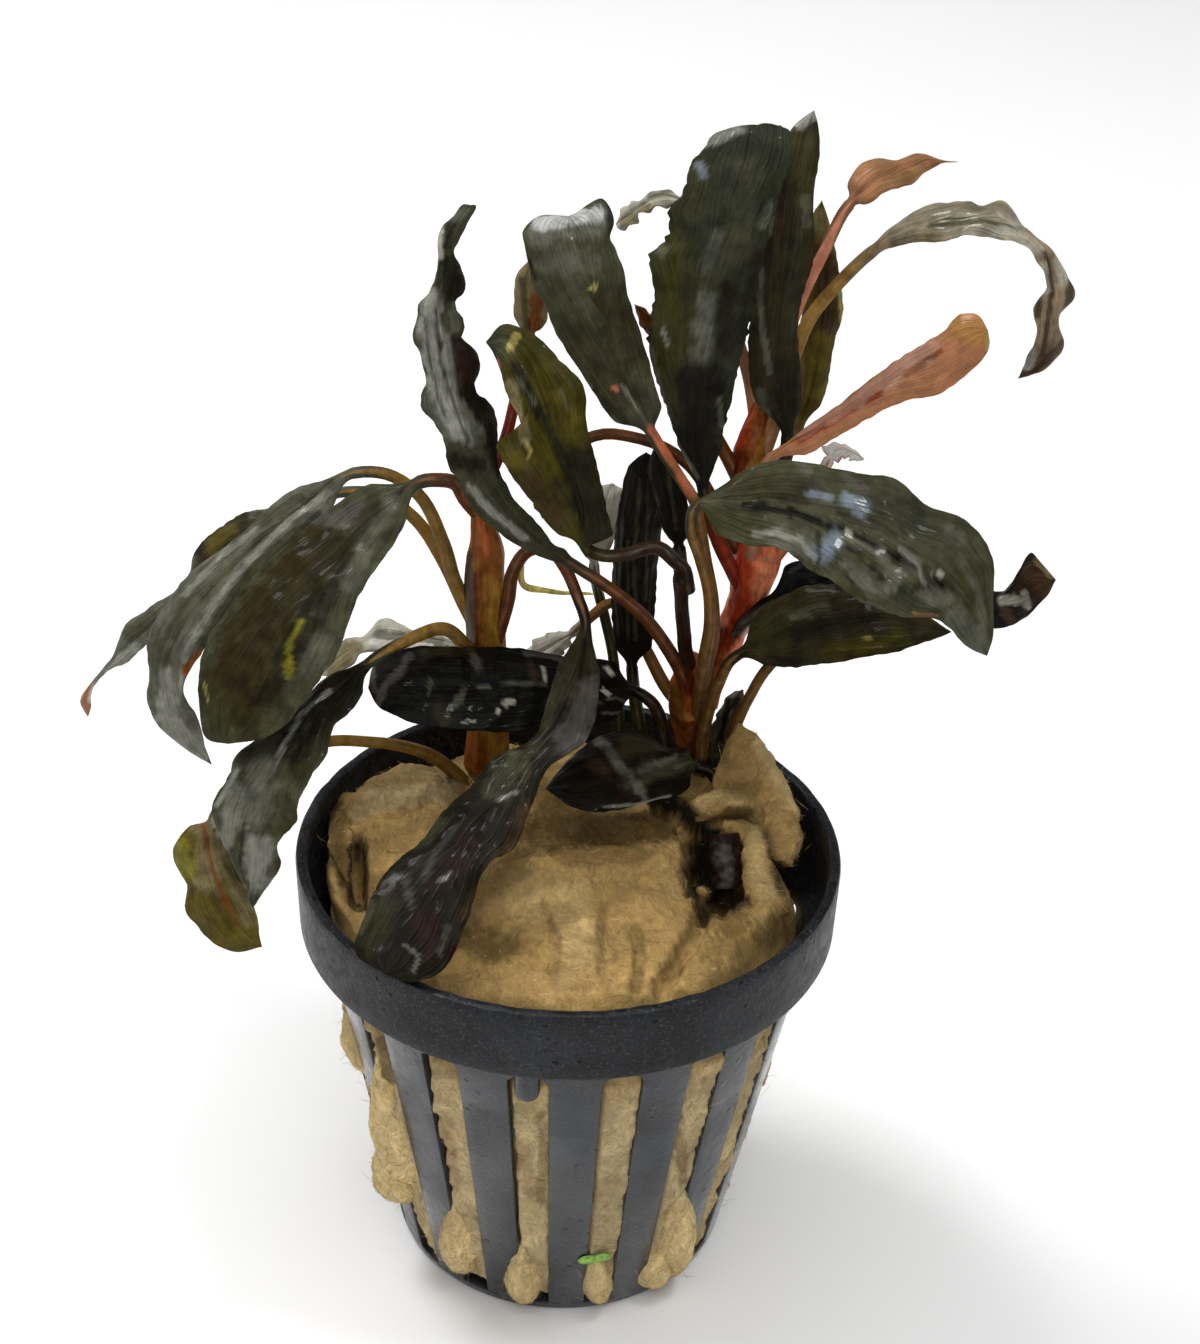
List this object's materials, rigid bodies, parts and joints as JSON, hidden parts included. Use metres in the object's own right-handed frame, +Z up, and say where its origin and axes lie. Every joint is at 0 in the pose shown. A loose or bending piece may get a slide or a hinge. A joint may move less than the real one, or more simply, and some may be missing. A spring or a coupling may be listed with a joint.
{
  "type": "potted aquarium plant",
  "caption": "Water plant with long dark red and olive leaves on short stems, rooted in rockwool inside a slotted black plastic pot with a banded rim.",
  "frame": {"origin": "centre of the pot's underside", "axes": "+Z up along the pot's axis, +X to the right and +Y away from the viewer as the picture shows it"},
  "size_m": [0.0966, 0.0551, 0.1153],
  "materials": {
    "pot": "matte black moulded plastic, slightly pitted",
    "rockwool": "loose brown mineral fibres",
    "stem": "red brown leaf sheath, damp",
    "leaf": "dark grey green leaf with a wet sheen",
    "olive_leaf": "olive leaf with a wet sheen",
    "black_leaf": "almost black wet leaf",
    "pale_leaf": "pale leaf underside",
    "pink_leaf": "pink brown young leaf",
    "root": "pale root, dull"
  },
  "bodies": {
    "root": {"pot": "pot", "rockwool": "rockwool", "stem_left": "stem", "stem_middle": "stem", "stem_right": "stem", "stem_dark": "stem", "sheath_right": "stem", "leaf_left_front": "leaf", "leaf_left_back": "leaf", "leaf_left_far": "pale_leaf", "leaf_left_low": "leaf", "leaf_left_tip": "olive_leaf", "leaf_back_left": "pale_leaf", "leaf_back_low": "pale_leaf", "leaf_back_middle": "pale_leaf", "leaf_back_hidden": "olive_leaf", "leaf_black_cross": "black_leaf", "leaf_low_middle": "black_leaf", "leaf_front": "black_leaf", "leaf_dark_long": "leaf", "leaf_olive": "olive_leaf", "leaf_mid": "leaf", "leaf_mid_back": "pink_leaf", "leaf_tall": "leaf", "leaf_tall_right": "leaf", "leaf_top_back": "pale_leaf", "leaf_young_red": "pink_leaf", "leaf_striped": "black_leaf", "leaf_dark_narrow": "black_leaf", "leaf_right_front": "leaf", "leaf_right_low": "olive_leaf", "leaf_right_back": "black_leaf", "leaf_right_under": "olive_leaf", "leaf_pink": "pink_leaf", "leaf_arching": "leaf", "leaf_salmon": "pink_leaf", "leaf_small_pale": "pale_leaf", "leaf_right_rear": "olive_leaf", "leaf_small_base": "leaf", "stub": "stem", "root": "root"}
  },
  "joints": []
}
